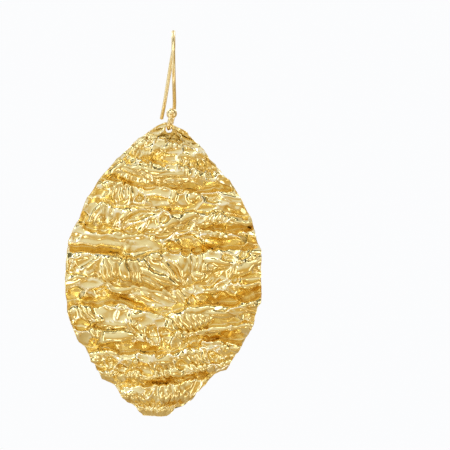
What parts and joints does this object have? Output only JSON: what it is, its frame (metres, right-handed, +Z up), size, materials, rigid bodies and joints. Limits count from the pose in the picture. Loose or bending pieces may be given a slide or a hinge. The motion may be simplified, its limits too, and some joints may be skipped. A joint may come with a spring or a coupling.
{
  "type": "oval dangle earring",
  "caption": "Drop earring with a round wire ear hook and one large pointed oval drop of thin gold metal sheet, folded in ledges and crumpled all over, swinging on the hook's loop.",
  "frame": {"origin": "underside of the top of the hook's bend, where the hook rests in the ear", "axes": "+Z up, the drop hangs down -Z; -Y is the front that is seen when worn; +X is to the right seen from the front"},
  "size_m": [0.0423, 0.0152, 0.0832],
  "materials": {
    "gold_wire": "polished gold plate",
    "gold_sheet": "bright crumpled gold plate"
  },
  "bodies": {
    "hook": {"ear_hook": "gold_wire"},
    "drop": {"oval_drop": "gold_sheet"}
  },
  "joints": [
    {"name": "drop_sway", "type": "hinge", "parent": "hook", "child": "drop", "pos_m": [-0.00094, -0.00049, -0.02055], "axis": [0, 1, 0], "range_deg": [-40, 40]}
  ]
}
